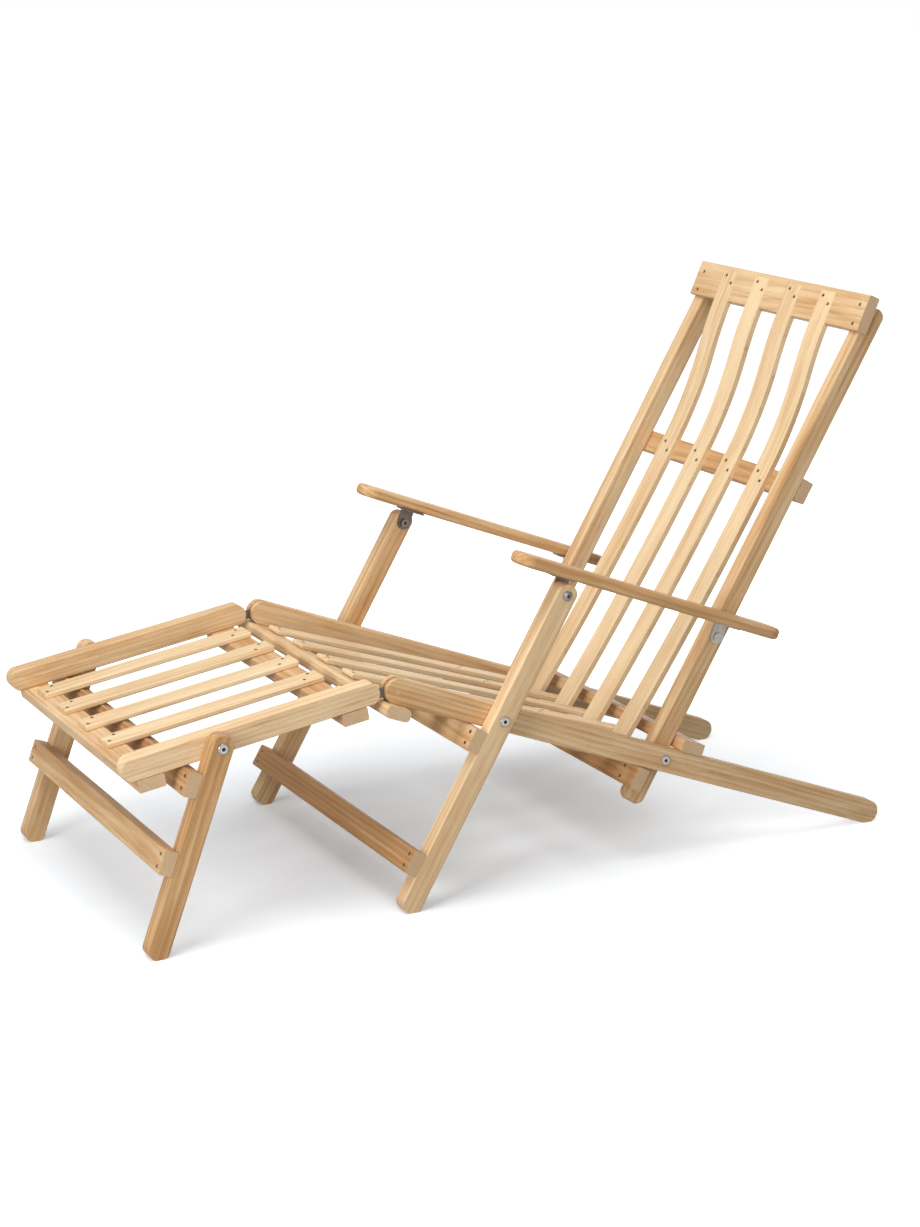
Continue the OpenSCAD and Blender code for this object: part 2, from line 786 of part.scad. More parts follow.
module leg_stretcher() {
    color(pale_wood) difference() {
        at_leg() translate([-leg_w / 2 - cross_t / 2, 0, -stretcher_drop])
            bar(overall_w, cross_t, cross_h, bar_r);
        leg_screw_set(fit_gap);
    }
}

module leg_screws() {
    color(dark_steel) leg_screw_set();
}

module arm_front_bolts() {
    color(steel) at_leg() both_sides() translate([0, 0, arm_lift])
        dome_bolt(arm_bolt_d, leg_in - 2 * ear_gap - plate_t, half_w);
}

// armrests
module arm_screw_set(s, c = 0) {
    at_arm() for (x = [0, pivot_gap], k = [-1, 1])
        translate([x + k * plate_l / 3, s * (arm_in + arm_w / 4), arm_rise - plate_t])
            up_screw(arm_screw_l, c);
}

module armrest(s) {
    color(wood) difference() {
        at_arm() translate([0, s * arm_y, arm_rise + arm_t / 2]) intersection() {
            translate([0, 0, -arm_t]) linear_extrude(height = 2 * arm_t) rotate(-90)
                stadium(arm_w, -arm_front, pivot_gap + arm_rear);
            translate([-arm_front - over, 0, 0]) rotate([0, 90, 0])
                linear_extrude(height = arm_front + pivot_gap + arm_rear + 2 * over)
                    round_rect(arm_t, arm_w, arm_r);
        }
        arm_screw_set(s, fit_gap);
    }
}

// ear hanging from a plate under the armrest; y0 is the ear's face towards the board it turns on
module bracket(x, y0, y1, plate_y0, plate_y1) {
    translate([x, 0, 0]) difference() {
        union() {
            translate([0, y1, 0]) rotate([90, 0, 0]) linear_extrude(height = y1 - y0) {
                circle(r = ear_r);
                translate([-ear_r, 0]) square([2 * ear_r, arm_rise]);
            }
            translate([-plate_l / 2, plate_y0, arm_rise - plate_t])
                cube([plate_l, plate_y1 - plate_y0, plate_t]);
        }
        cross_rod(arm_bolt_d + 2 * run_fit, y0 - over, y1 + over);
    }
}

module arm_front_bracket(s) {
    color(steel) difference() {
        at_arm() mirror([0, s < 0 ? 1 : 0, 0])
            bracket(0, leg_in - ear_gap - plate_t, leg_in - ear_gap, arm_in, leg_in - ear_gap);
        arm_screw_set(s, fit_gap);
    }
}

module arm_rear_bracket(s) {
    color(steel) difference() {
        at_arm() mirror([0, s < 0 ? 1 : 0, 0])
            bracket(pivot_gap, upright_out + ear_gap, upright_out + ear_gap + plate_t,
                upright_out + ear_gap, leg_in - ear_gap);
        arm_screw_set(s, fit_gap);
    }
}

module armrest_left() {
    armrest(-1);
}

module armrest_right() {
    armrest(1);
}

module arm_front_bracket_left() {
    arm_front_bracket(-1);
}

module arm_front_bracket_right() {
    arm_front_bracket(1);
}

module arm_rear_bracket_left() {
    arm_rear_bracket(-1);
}

module arm_rear_bracket_right() {
    arm_rear_bracket(1);
}

module arm_screws_left() {
    color(dark_steel) arm_screw_set(-1);
}

module arm_screws_right() {
    color(dark_steel) arm_screw_set(1);
}

// footrest
module foot_rail(s) {
    color(wood) difference() {
        at_foot() difference() {
            translate([0, s * rail_y, 0]) stick_x(foot_rail_h, board_t, -foot_front, foot_rear, edge_r);
            translate([0, s * (rail_y + bolt_cover), 0]) cross_rod(bolt_d, -board_t / 2, board_t / 2);
        }
        at_blade() translate([-blade_l / 2 - groove_gap, s * rail_y, 0])
            cube([blade_l, blade_t + 2 * groove_gap, blade_h + 2 * groove_gap], center = true);
        foot_screw_set(fit_gap);
        blade_pin_set(fit_gap);
    }
}

module foot_rail_left() {
    foot_rail(-1);
}

module foot_rail_right() {
    foot_rail(1);
}

module foot_bar(x) {
    color(pale_wood) difference() {
        at_foot() translate([x, 0, -foot_rail_h / 2 - bar_t / 2]) bar(2 * rail_out, bar_w, bar_t, bar_r);
        foot_screw_set(fit_gap);
    }
}

module foot_front_bar() {
    foot_bar(foot_front_bar_x);
}

module foot_rear_bar() {
    foot_bar(foot_rear_bar_x);
}

module foot_slat(n) {
    color(wood) difference() {
        at_foot() translate([foot_slat_x0, slat_spots[n], -foot_rail_h / 2])
            slat(foot_slat_x1 - foot_slat_x0);
        foot_screw_set(fit_gap);
    }
}

module foot_slat_1() {
    foot_slat(0);
}

module foot_slat_2() {
    foot_slat(1);
}

module foot_slat_3() {
    foot_slat(2);
}

module foot_slat_4() {
    foot_slat(3);
}

module foot_slat_5() {
    foot_slat(4);
}

module foot_screws() {
    color(dark_steel) foot_screw_set();
}

module hinge_blades() {
    color(steel) difference() {
        at_blade() both_sides() translate([0, rail_y, 0]) difference() {
            rotate([90, 0, 0]) linear_extrude(height = blade_t, center = true) {
                translate([-blade_l, -blade_h / 2]) square([blade_l, blade_h]);
                circle(d = blade_h);
            }
            cross_rod(dowel_d + 2 * run_fit, -blade_t, blade_t);
        }
        blade_pin_set(fit_gap);
    }
}

module blade_pins() {
    color(dark_steel) blade_pin_set();
}

module foot_pivot_bolts() {
    color(steel) at_foot() both_sides()
        pivot_bolt(bolt_d, rail_in + bolt_cover, half_w + ear_gap, inner_cap = false);
}

// footrest legs
module foot_leg(s) {
    color(wood) difference() {
        at_foot_leg() difference() {
            translate([0, s * leg_y, 0])
                stick(foot_leg_w, board_t, -foot_leg_down - foot_leg_w / 2, foot_leg_up, edge_r);
            translate([0, s * leg_y, 0]) cross_rod(bolt_d + 2 * run_fit, -board_t, board_t);
        }
        foot_leg_screw_set(fit_gap);
        below_floor();
    }
}

module foot_leg_left() {
    foot_leg(-1);
}

module foot_leg_right() {
    foot_leg(1);
}

module foot_stop_bar() {
    color(pale_wood) difference() {
        at_foot_leg() translate([-foot_leg_w / 2 - cross_t / 2, 0, foot_stop_top - cross_h / 2])
            bar(overall_w, cross_t, cross_h, bar_r);
        foot_leg_screw_set(fit_gap);
    }
}

module foot_stretcher() {
    color(pale_wood) difference() {
        at_foot_leg() translate([-foot_leg_w / 2 - cross_t / 2, 0, -foot_stretcher_drop])
            bar(overall_w, cross_t, cross_h, bar_r);
        foot_leg_screw_set(fit_gap);
    }
}

module foot_leg_screws() {
    color(dark_steel) foot_leg_screw_set();
}

seat_rail_left();
seat_rail_right();
seat_front_bar();
seat_rear_bar();
back_rest_bar();
seat_slat_1();
seat_slat_2();
seat_slat_3();
seat_slat_4();
seat_slat_5();
seat_screws();
seat_dowels();
hinge_pins();
leg_pivot_bolts();
back_pivot_bolts();
upright_left();
upright_right();
headrest_board();
mid_back_bar();
lower_back_bar();
back_slat_1();
back_slat_2();
back_slat_3();
back_slat_4();
back_screws();
arm_rear_bolts();
front_leg_left();
front_leg_right();
leg_stop_bar();
leg_stretcher();
leg_screws();
arm_front_bolts();
armrest_left();
arm_front_bracket_left();
arm_rear_bracket_left();
arm_screws_left();
armrest_right();
arm_front_bracket_right();
arm_rear_bracket_right();
arm_screws_right();
foot_rail_left();
foot_rail_right();
foot_front_bar();
foot_rear_bar();
foot_slat_1();
foot_slat_2();
foot_slat_3();
foot_slat_4();
foot_slat_5();
foot_screws();
hinge_blades();
blade_pins();
foot_pivot_bolts();
foot_leg_left();
foot_leg_right();
foot_stop_bar();
foot_stretcher();
foot_leg_screws();
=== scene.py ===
import json
import math

import bmesh
import bpy
from bpy.props import FloatProperty, FloatVectorProperty, PointerProperty
from mathutils import Euler, Matrix, Vector


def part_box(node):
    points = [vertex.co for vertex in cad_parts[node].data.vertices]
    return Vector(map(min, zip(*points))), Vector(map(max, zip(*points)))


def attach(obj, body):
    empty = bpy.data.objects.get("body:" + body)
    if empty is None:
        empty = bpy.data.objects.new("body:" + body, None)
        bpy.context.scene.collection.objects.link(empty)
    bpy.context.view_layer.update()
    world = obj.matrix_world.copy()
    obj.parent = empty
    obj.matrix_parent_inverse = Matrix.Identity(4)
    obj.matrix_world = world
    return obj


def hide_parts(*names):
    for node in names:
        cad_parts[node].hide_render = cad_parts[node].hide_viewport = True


bl_info = {
    "name": "Folding Deck Chair",
    "version": (1, 0, 0),
    "blender": (4, 5, 0),
    "location": "View3D > Sidebar > Deck Chair",
    "description": "Finishes the boards, slats and metalwork of a folding deck chair and sets up its studio",
    "category": "Object",
}

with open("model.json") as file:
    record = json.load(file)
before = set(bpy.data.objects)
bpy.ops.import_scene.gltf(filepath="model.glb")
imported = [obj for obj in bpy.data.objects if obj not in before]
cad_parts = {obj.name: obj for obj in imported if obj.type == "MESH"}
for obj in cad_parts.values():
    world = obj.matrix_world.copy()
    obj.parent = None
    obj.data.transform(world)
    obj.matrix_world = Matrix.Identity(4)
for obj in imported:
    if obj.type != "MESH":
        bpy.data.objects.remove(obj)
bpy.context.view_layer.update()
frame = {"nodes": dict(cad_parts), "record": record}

# slopes of the chair's parts, in degrees: turn about Y that lays a part's length along X
RAIL = -20.5
SEAT_SLAT = -18.1
UPRIGHT = 60.0
HEAD = 66.4
FOOT_RAIL = 9.5
FOOT_LEG = 70.2

# steps of a rounded edge, and of the outline round a board's two half-round ends
EDGE_STEPS = 6
END_SEGMENTS = 48

# distance below which two points count as one, in metres
SAME_PLACE = 1e-6

# how much of its depth the grain of a bent slat follows
BENT_DEPTH = 0.1

# how brown a board is, from 0 for the palest to about 1.2; boards not named here are pale. On the bars under
# the slats (foot_rear_bar, foot_stop_bar, seat_rear_bar, back_rest_bar, lower_back_bar) and on leg_stretcher
# the high values are partly painted shade: darker wood standing in for the shade under and between the parts
BROWN_AND_SHADE = {
    "foot_rail_left": 0.16, "foot_rail_right": 0.48, "foot_front_bar": 0.46, "foot_rear_bar": 0.71,
    "foot_leg_left": 0.86, "foot_leg_right": 0.46, "foot_stretcher": 0.66, "foot_stop_bar": 1.05,
    "seat_rail_left": 0.52, "seat_rail_right": 0.42, "seat_front_bar": 0.41, "seat_rear_bar": 1.15,
    "back_rest_bar": 0.61, "upright_left": 0.52, "upright_right": 0.36, "headrest_board": 0.40,
    "mid_back_bar": 0.78, "lower_back_bar": 1.10, "front_leg_left": 0.34, "front_leg_right": 0.50,
    "leg_stop_bar": 0.61, "leg_stretcher": 1.15, "armrest_left": 0.81, "armrest_right": 0.56,
    "hinge_pins": 0.50,
}
# least brown of the other boards, and how much it differs among them
PALE_BROWN = (0.05, 0.20)

# fraction of a turn that spreads numbers evenly
GOLDEN = 0.6180339887

# a board's place in its log, in metres: spread along the log, then least distance to the heart and its spread
HEART_ALONG = 3.0
HEART_ASIDE = (0.02, 0.05)
HEART_BELOW = (0.035, 0.07)

# noise that the timber is made of: squeeze along the board, scale, detail and roughness
GRAIN_NOISE = {
    "drift": (0.35, 11.0, 1.0, 0.55),
    "wander": (0.07, 9.0, 2.0, 0.55),
    "flow": (0.035, 60.0, 3.0, 0.55),
    "fibre": (0.020, 520.0, 3.0, 0.65),
    "pores": (0.045, 1250.0, 1.0, 0.55),
    "cloud": (0.13, 34.0, 3.0, 0.55),
    "band": (0.018, 120.0, 3.0, 0.55),
}

# how far noise moves the grain lines and the growth rings sideways, in metres
DRIFT_REACH = 0.035
WANDER_REACH = 0.050
FLOW_REACH = 0.008

# where a growth ring darkens and breaks off, as shares of its width
RING_RISE = (0.15, 0.92)
RING_FALL = (0.93, 1.0)

# values of noise between which pores and dark lines set in
PORE_EDGE = (0.60, 0.74)
LINE_EDGE = (0.60, 0.76)

# how strongly soft clouds and fibres shade the wood, and how strongly pores streak it
CLOUD_SHARE = 1.3
FIBRE_SHARE = 0.7
PORE_SHARE = 0.30

# shades over which pale wood turns warm, and warm wood turns to the streaks' colour, which on the bars under
# the slats and the front leg stretcher is partly painted shade
WARM_RANGE = (-0.25, 1.15)
STREAK_RANGE = (0.55, 2.30)

# sawn ends: where their colour starts and is full, in metres from the end, and how much of it shows
END_START = 0.0012
END_FULL = 0.0002
END_SHARE = 0.75

# gloss of bare wood, strength of the relief on wood and on metal, and its depth on metal, in metres
WOOD_GLOSS = 0.2
WOOD_BUMP = 0.45
METAL_BUMP = 0.35
METAL_RELIEF = 0.00008

# noise on metal and on the floor: scale, detail and roughness
SCUFF_NOISE = (900.0, 3.0, 0.6)
BLOTCH_NOISE = (120.0, 2.0, 0.5)
PAPER_NOISE = (300.0, 2.0, 0.5)
# darker colour between them, as a share of the lighter one
DULL_SHARE = 0.72
PAPER_SHARE = 0.985

# noise between which metal goes from dull to clean, and the floor from darker to lighter
CLEAN_EDGE = (0.35, 0.75)
PAPER_EDGE = (0.3, 0.7)

# roughness of bolt caps, domed bolts, brackets, hinge blades, pins and screws
CAP_ROUGH = 0.32
DOME_ROUGH = 0.34
BRACKET_ROUGH = 0.55
BLADE_ROUGH = 0.6
PIN_ROUGH = 0.36
SCREW_ROUGH = 0.45

# bolt heads, as shares of the socket's radius: edge of the socket and start of the duller rim
SOCKET_EDGE = (0.80, 0.98)
RIM_EDGE = (1.35, 1.6)
# how much duller the rim is, and how much rougher the socket
RIM_DULL = 0.6
SOCKET_ROUGHER = 0.4
# rate of the turning marks round a bolt's axis
TURNING_RATE = 4200.0

# sides of a screw's head and of its shank
HEAD_SEGMENTS = 16
SHANK_SEGMENTS = 10
# screws, in metres: depth of the head, drop of its rim, length that head and gap take off the shank
HEAD_DEPTH = 0.0024
RIM_DROP = 0.0003
SHANK_SHORTER = 0.0026
# how near to an end of a screw, in metres, a point counts as part of its end face
END_LAYER = 0.0004
# shares of the head's radius: rim, land round the cross, taper of the cross
RIM_SHARE = 0.16
LAND_SHARE = 0.18
TAPER_SHARE = 0.04
# how far the cross draws in between its arms, and how sharply
CROSS_WAIST = 0.68
CROSS_SHARPNESS = 1.6
# radius of a screw's tip as a share of its shank's
TIP_SHARE = 0.35

# half the side of the square floor, in metres, and the camera's sensor, in millimetres
FLOOR_HALF = 30.0
SENSOR = 36.0

# lamps: name, place, target and side in metres, and the studio value that holds the power
LAMPS = (
    ("key_lamp", (-0.7, -0.3, 3.1), (0.0, 0.0, 0.3), 2.2, "key_power"),
    ("front_lamp", (-3.3, -1.5, 1.4), (-0.1, 0.0, 0.4), 1.6, "front_power"),
    ("fill_lamp", (-0.9, -3.5, 1.9), (0.0, 0.0, 0.4), 2.4, "fill_power"),
    ("back_lamp", (2.6, 2.8, 1.7), (0.1, 0.0, 0.4), 2.4, "back_power"),
)


class WoodLook(bpy.types.PropertyGroup):
    """Colours and sizes of the bare timber"""

    pale: FloatVectorProperty(
        name="Pale wood", description="Colour of the light wood between the grain lines",
        subtype="COLOR", size=3, min=0, max=1, default=(0.825, 0.635, 0.395))
    warm: FloatVectorProperty(
        name="Warm wood", description="Colour of the darker bands of the growth rings",
        subtype="COLOR", size=3, min=0, max=1, default=(0.555, 0.310, 0.130))
    streak: FloatVectorProperty(
        name="Streak", description="Colour of the fine dark streaks along the grain",
        subtype="COLOR", size=3, min=0, max=1, default=(0.300, 0.140, 0.055))
    end_grain: FloatVectorProperty(
        name="End grain", description="Colour of the sawn ends",
        subtype="COLOR", size=3, min=0, max=1, default=(0.600, 0.430, 0.265))
    ring_gap: FloatProperty(
        name="Ring gap", description="Distance between growth rings",
        unit="LENGTH", min=0.002, max=0.02, default=0.0075)
    roughness: FloatProperty(
        name="Roughness", description="Roughness of the sanded surface", min=0, max=1, default=0.58)
    arm_edge: FloatProperty(
        name="Armrest edge", description="Rounding of the armrest edges", unit="LENGTH",
        min=0.001, max=0.009, default=0.0065)
    relief: FloatProperty(
        name="Grain relief", description="Depth of the open grain", unit="LENGTH",
        min=0, max=0.001, default=0.00018)


class MetalLook(bpy.types.PropertyGroup):
    """Colours of bolts, brackets and screws"""

    steel: FloatVectorProperty(
        name="Steel", description="Colour of bolts and caps",
        subtype="COLOR", size=3, min=0, max=1, default=(0.44, 0.42, 0.395))
    zinc: FloatVectorProperty(
        name="Dull zinc", description="Colour of the rear arm brackets and their flat bolts",
        subtype="COLOR", size=3, min=0, max=1, default=(0.38, 0.365, 0.32))
    # on the hinge blades this dark colour is partly painted shade, standing in for the shade in the gap
    # between seat and footrest
    dark: FloatVectorProperty(
        name="Dark plate", description="Colour of the front arm brackets and the hinge blades",
        subtype="COLOR", size=3, min=0, max=1, default=(0.20, 0.165, 0.14))
    dome: FloatVectorProperty(
        name="Domed bolt", description="Colour of the domed arm bolts",
        subtype="COLOR", size=3, min=0, max=1, default=(0.22, 0.205, 0.215))
    screw: FloatVectorProperty(
        name="Screw", description="Colour of the screw heads",
        subtype="COLOR", size=3, min=0, max=1, default=(0.20, 0.165, 0.13))
    # painted shade: the near black inside the hex sockets stands in for the shade in the recess
    socket: FloatVectorProperty(
        name="Socket", description="Colour inside the hex sockets",
        subtype="COLOR", size=3, min=0, max=1, default=(0.012, 0.011, 0.010))
    socket_radius: FloatProperty(
        name="Socket radius", description="Half the width of a hex socket",
        unit="LENGTH", min=0.001, max=0.01, default=0.0034)
    screw_recess: FloatProperty(
        name="Screw recess", description="Depth of the cross recess in a screw head",
        unit="LENGTH", min=0.0002, max=0.003, default=0.0012)


class StudioSetup(bpy.types.PropertyGroup):
    """Camera, lamps and floor"""

    lens: FloatProperty(
        name="Lens", description="Focal length", subtype="DISTANCE_CAMERA",
        min=20, max=200, default=75.44)
    camera_place: FloatVectorProperty(
        name="Camera place", description="Where the camera stands",
        subtype="TRANSLATION", size=3, default=(-1.8677, -3.6275, 1.4609))
    camera_turn: FloatVectorProperty(
        name="Camera turn", description="Pitch, roll and yaw of the camera",
        subtype="EULER", size=3,
        default=(math.radians(75.173), math.radians(-0.183), math.radians(-27.371)))
    floor: FloatVectorProperty(
        name="Floor", description="Colour of the floor",
        subtype="COLOR", size=3, min=0, max=1, default=(0.81, 0.85, 0.89))
    # painted shadow: the floor's glow for the camera is weaker in an ellipse under the chair, which paints a
    # soft shadow there; the lift is the glow in its middle, and the values below place and size that painted
    # shadow
    floor_lift: FloatProperty(
        name="Floor lift", description="Light added to the floor under the chair as the camera sees it",
        min=0, max=1, default=0.105)
    painted_shadow_middle: FloatVectorProperty(
        name="Floor middle", description="Where on the floor the least light is added",
        subtype="TRANSLATION", size=2, default=(-0.195, 0.046))
    painted_shadow_stretch: FloatProperty(
        name="Floor stretch", description="How much longer than wide the darker floor is, squared",
        min=1, max=4, default=2)
    floor_bounce: FloatProperty(
        name="Floor bounce", description="Share of its light that the floor throws back on the chair",
        min=0, max=1, default=0.50)
    painted_shadow_near: FloatProperty(
        name="Floor near", description="Distance from the floor's middle where it starts to fade to white",
        unit="LENGTH", min=0, max=5, default=0.0)
    painted_shadow_far: FloatProperty(
        name="Floor far", description="Distance from the floor's middle where it is white",
        unit="LENGTH", min=0.3, max=6, default=1.33)
    key_power: FloatProperty(
        name="Key light", description="Power of the large lamp overhead", unit="POWER",
        min=0, max=1000, default=64)
    front_power: FloatProperty(
        name="Front light", description="Power of the lamp in front of the footrest", unit="POWER",
        min=0, max=1000, default=70)
    fill_power: FloatProperty(
        name="Fill light", description="Power of the lamp beside the camera", unit="POWER",
        min=0, max=1000, default=52)
    back_power: FloatProperty(
        name="Back light", description="Power of the lamp behind the chair", unit="POWER",
        min=0, max=1000, default=28)
    sky: FloatProperty(
        name="Room light", description="Strength of the light from all round", min=0, max=2, default=0.11)


class Sock:
    """An output socket of a node; sums and products with it add Math nodes."""

    def __init__(self, tree, socket):
        self.tree = tree
        self.socket = socket

    def node(self, kind, settings=None, values=None, out=0):
        """A new node with its settings, then its sockets' values or links, and the output to go on from."""
        made = self.tree.nodes.new(kind)
        for key, value in (settings or {}).items():
            setattr(made, key, value)
        for key, value in (values or {}).items():
            if isinstance(value, Sock):
                self.tree.links.new(value.socket, made.inputs[key])
            else:
                made.inputs[key].default_value = value
        return Sock(self.tree, made.outputs[out]) if len(made.outputs) else made

    def maths(self, operation, first, second=0.0):
        return self.node("ShaderNodeMath", {"operation": operation}, {0: first, 1: second})

    def __add__(self, other):
        return self.maths("ADD", self, other)

    __radd__ = __add__

    def __mul__(self, other):
        return self.maths("MULTIPLY", self, other)

    __rmul__ = __mul__

    def __sub__(self, other):
        return self.maths("SUBTRACT", self, other)

    def __rsub__(self, other):
        return self.maths("SUBTRACT", other, self)

    def __truediv__(self, other):
        return self.maths("DIVIDE", self, other)

    def __pow__(self, other):
        return self.maths("POWER", self, other)

    def ramp(self, low, high):
        """0 below low, 1 above high and smooth between."""
        return self.node(
            "ShaderNodeMapRange", {"interpolation_type": "SMOOTHSTEP", "clamp": True},
            {"Value": self, "From Min": low, "From Max": high, "To Min": 0.0, "To Max": 1.0})

    def mix(self, first, second):
        """Colour that goes from first to second as this value goes from 0 to 1."""
        first, second = (value if isinstance(value, Sock) else (*value, 1.0) for value in (first, second))
        return self.node("ShaderNodeMix", {"data_type": "RGBA"}, {0: self, 6: first, 7: second}, out=2)


def blank_material(name):
    """An empty node material and its first socket, the Object coordinates."""
    material = bpy.data.materials.new(name)
    material.use_nodes = True
    material.node_tree.nodes.clear()
    coords = Sock(material.node_tree, None).node("ShaderNodeTexCoord", out=3)
    return material, coords


def close_material(start, shader):
    """Joins the finished shader to the material's output."""
    start.node("ShaderNodeOutputMaterial", None, {"Surface": shader})


def parts_of(vector):
    """The X, Y and Z of a vector."""
    return [vector.node("ShaderNodeSeparateXYZ", None, {"Vector": vector}, out=axis) for axis in range(3)]


def noise_of(vector, scale, detail, rough):
    return vector.node("ShaderNodeTexNoise", {"noise_dimensions": "3D"}, {
        "Vector": vector, "Scale": scale, "Detail": detail, "Roughness": rough})


def shown_rays(start):
    """1 for the rays that show a surface to the camera, also by a mirror or glass, and 0 for all others."""
    seen, mirrored, through = (start.node("ShaderNodeLightPath", out=number) for number in (0, 3, 6))
    return (seen + mirrored + through).ramp(0.0, 1.0)


def spread(node_name, step):
    """A fixed number from 0 to 1 for a piece, so that no two boards look the same."""
    total = sum((place + 1) * ord(letter) for place, letter in enumerate(node_name))
    return (total * GOLDEN * step) % 1.0


def wood_material(node_name, turn, across, end_length=None, depth=1.0):
    """Timber whose grain runs along the board: turn lays it along X, across is for bars along Y.
    A low depth keeps the grain of a bent board along its length."""
    look = bpy.context.scene.deck_wood
    material, coords = blank_material("wood_" + node_name)
    low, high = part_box(node_name)
    centre = (Vector(low) + Vector(high)) / 2
    euler = Euler((0.0, math.radians(turn), math.radians(-90.0 if across else 0.0)), "XYZ")
    side = 1 if spread(node_name, 3) > 0.5 else -1
    aside = side * (HEART_ASIDE[0] + HEART_ASIDE[1] * spread(node_name, 5))
    below = HEART_BELOW[0] + HEART_BELOW[1] * spread(node_name, 2)
    heart = Vector((HEART_ALONG * spread(node_name, 1), aside, below))
    local = coords.node("ShaderNodeMapping", {"vector_type": "POINT"}, {
        "Vector": coords, "Location": tuple(heart - euler.to_matrix() @ centre), "Rotation": euler})
    along, wide, thick = parts_of(local)

    def noise(kind, vector=local):
        squeeze, scale, detail, rough = GRAIN_NOISE[kind]
        laid = local.node("ShaderNodeMapping", {"vector_type": "POINT"}, {
            "Vector": vector, "Scale": (squeeze, 1.0, depth)})
        return noise_of(laid, scale, detail, rough)

    drift = noise("drift")
    bent = drift.node("ShaderNodeCombineXYZ", None, {
        "X": along, "Y": wide + (drift - 0.5) * DRIFT_REACH, "Z": thick})
    wander = noise("wander")
    flow = noise("flow")
    radius = (wide * wide + thick * thick * depth) ** 0.5
    rings = (radius + (wander - 0.5) * WANDER_REACH + (flow - 0.5) * FLOW_REACH) / look.ring_gap
    ring_part = rings.maths("FRACT", rings)
    late = ring_part.ramp(*RING_RISE) * (1.0 - ring_part.ramp(*RING_FALL))
    fibre = noise("fibre", bent)
    pores = noise("pores").ramp(*PORE_EDGE)
    cloud = noise("cloud", bent)
    band = noise("band", bent)
    dark_line = band.ramp(*LINE_EDGE)

    # for the bars under the slats and the front leg stretcher this value is partly painted shade
    brown_and_shade = BROWN_AND_SHADE.get(node_name, PALE_BROWN[0] + PALE_BROWN[1] * spread(node_name, 7))
    ring_share = 0.10 + 0.14 * spread(node_name, 11) + 0.20 * brown_and_shade
    band_share = 0.7 + 0.35 * brown_and_shade
    line_share = 0.25 + 0.15 * spread(node_name, 13) + 0.35 * brown_and_shade
    shade = (late * ring_share + (cloud - 0.5) * CLOUD_SHARE + (band - 0.5) * band_share
             + (fibre - 0.5) * FIBRE_SHARE + brown_and_shade)
    colour = shade.ramp(*WARM_RANGE).mix(look.pale, look.warm)
    # the darkest boards turn to the streaks' colour; on the bars under the slats and the front leg stretcher
    # this is partly painted shade
    colour = shade.ramp(*STREAK_RANGE).mix(colour, look.streak)
    line_strength = 0.55 + late * 0.6
    lines = (pores * PORE_SHARE + dark_line * line_share) * line_strength
    colour = lines.mix(colour, look.streak)
    if end_length:
        gap = along - heart.x
        ends = gap.maths("ABSOLUTE", gap).ramp(end_length / 2 - END_START, end_length / 2 - END_FULL)
        colour = (ends * END_SHARE).mix(colour, look.end_grain)
    # fibres and pores are rougher than the late wood, and pores are open
    rough = 0.14 * fibre + 0.10 * pores - 0.06 * late + (look.roughness - 0.08)
    height = fibre * 0.35 - pores * 0.30 + band * 0.8 + late * 0.25
    bump = height.node("ShaderNodeBump", None, {
        "Strength": WOOD_BUMP, "Distance": look.relief, "Height": height})
    shader = colour.node("ShaderNodeBsdfPrincipled", None, {
        "Base Color": colour, "Roughness": rough, "Normal": bump, "Specular IOR Level": WOOD_GLOSS})
    close_material(coords, shader)
    return material


def dress(node_name, material):
    """Gives a CAD node one material."""
    slots = frame["nodes"][node_name].data.materials
    slots.clear()
    slots.append(material)


def dress_boards(names, turn, across=False, sawn_ends=False, depth=1.0):
    """Gives each board a timber of its own; sawn ends show on bars along Y."""
    for name in names:
        low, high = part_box(name)
        length = high[1] - low[1] if across and sawn_ends else None
        dress(name, wood_material(name, turn, across, length, depth))


def steel_material(name, colour, rough, axis=None):
    """Turned or rolled metal; axis is the X and Z of a bolt whose hex socket is painted near black as painted
    shade in its recess.
    """
    look = bpy.context.scene.deck_metal
    material, coords = blank_material(name)
    scuff = noise_of(coords, *SCUFF_NOISE)
    blotch = noise_of(coords, *BLOTCH_NOISE)
    dull = tuple(DULL_SHARE * channel for channel in colour)
    tint = (blotch * 0.6 + scuff * 0.4).ramp(*CLEAN_EDGE).mix(dull, colour)
    roughness = (scuff - 0.5) * 0.25 + rough
    metal = 1.0
    height = scuff * 0.5
    if axis:
        x, _, z = parts_of(coords)
        x = x - axis[0]
        z = z - axis[1]
        away = (x * x + z * z) ** 0.5
        # painted shade: the socket's middle is painted near black for the shade in the recess, and made
        # rougher and not metal
        shaded_socket = 1.0 - away.ramp(*(look.socket_radius * share for share in SOCKET_EDGE))
        rim = away.ramp(*(look.socket_radius * share for share in RIM_EDGE))
        tint = shaded_socket.mix((rim * RIM_DULL).mix(tint, look.dark), look.socket)
        roughness = roughness + shaded_socket * SOCKET_ROUGHER
        metal = 1.0 - shaded_socket
        turning = away * TURNING_RATE
        height = height + turning.maths("SINE", turning) * 0.25
    bump = height.node("ShaderNodeBump", None, {
        "Strength": METAL_BUMP, "Distance": METAL_RELIEF, "Height": height})
    shader = coords.node("ShaderNodeBsdfPrincipled", None, {
        "Base Color": tint, "Roughness": roughness, "Metallic": metal, "Normal": bump})
    close_material(coords, shader)
    return material


def bolt_axis(node_name):
    """X and Z of the axis that the bolts of a CAD node share."""
    low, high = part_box(node_name)
    return (low[0] + high[0]) / 2, (low[2] + high[2]) / 2


